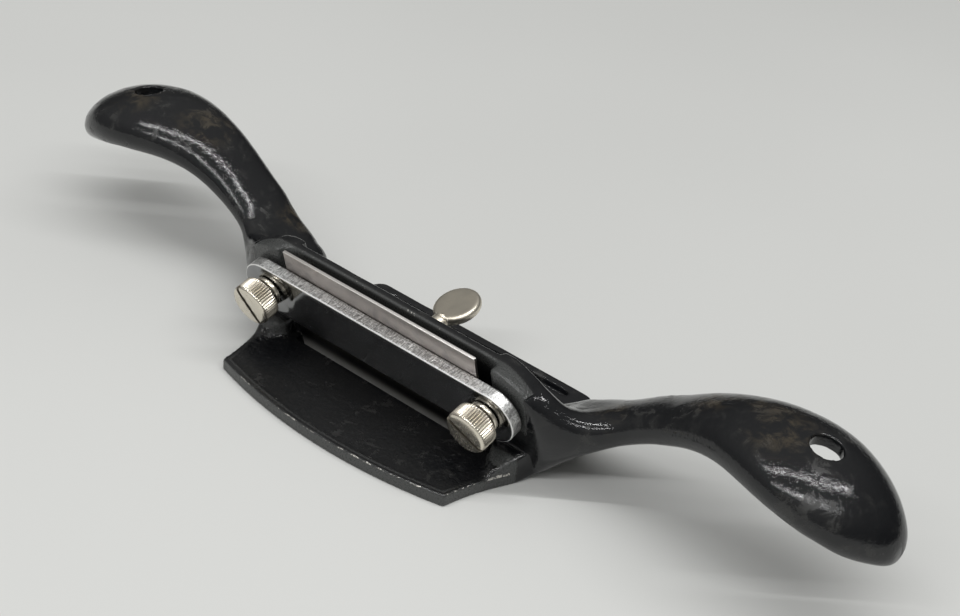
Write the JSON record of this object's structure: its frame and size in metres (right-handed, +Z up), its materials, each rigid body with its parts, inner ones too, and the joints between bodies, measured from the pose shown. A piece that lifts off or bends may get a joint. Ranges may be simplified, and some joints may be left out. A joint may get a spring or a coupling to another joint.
{
  "type": "cabinet scraper",
  "caption": "Cast-iron cabinet scraper with gull-wing spokeshave handles, clamped scraper blade, knurled clamp screws and a bow screw.",
  "frame": {"origin": "on the sole's underside, midway between the two handles and midway along the sole from the toe's nose to the heel's rear edge", "axes": "+X along the right handle, +Y from the toe towards the heel (away from the direction of the push), +Z up from the sole"},
  "size_m": [0.292, 0.071, 0.0453],
  "materials": {
    "japanned_iron": "glossy black japanning on cast iron, chipped at the edges",
    "blade_steel": "brushed spring steel",
    "bar_steel": "nickel-plated steel, worn",
    "screw_nickel": "warm nickel plate with straight knurling",
    "bow_nickel": "satin nickel plate"
  },
  "bodies": {
    "body": {"body_casting": "japanned_iron"},
    "blade": {"scraper_blade": "blade_steel"},
    "bar": {"clamp_bar": "bar_steel"},
    "screw_left": {"clamp_screw_left": "screw_nickel"},
    "screw_right": {"clamp_screw_right": "screw_nickel"},
    "bow": {"bow_screw": "bow_nickel"}
  },
  "joints": [
    {"name": "blade_lift", "type": "slide", "parent": "body", "child": "blade", "axis": [0, -0.2924, 0.9563], "range_m": [0, 0.036]},
    {"name": "bar_release", "type": "slide", "parent": "body", "child": "bar", "axis": [0, -0.9563, -0.2924], "range_m": [0, 0.003]},
    {"name": "clamp_screw_left_turn", "type": "hinge", "parent": "bar", "child": "screw_left", "pos_m": [-0.04, -0.02008, 0.01926], "axis": [0, -0.9563, -0.2924], "range_deg": [0, 851]},
    {"name": "clamp_screw_right_turn", "type": "hinge", "parent": "bar", "child": "screw_right", "pos_m": [0.04, -0.02008, 0.01926], "axis": [0, -0.9563, -0.2924], "range_deg": [0, 851]},
    {"name": "bow_screw_turn", "type": "hinge", "parent": "body", "child": "bow", "pos_m": [0, 0.0118, 0.01761], "axis": [0, 0.9563, 0.2924], "range_deg": [-180, 720]}
  ],
  "couplings": [
    {"joint": "clamp_screw_left_turn", "follows": "bar_release", "rad_per_m": 4947.4},
    {"joint": "clamp_screw_right_turn", "follows": "bar_release", "rad_per_m": 4947.4}
  ]
}
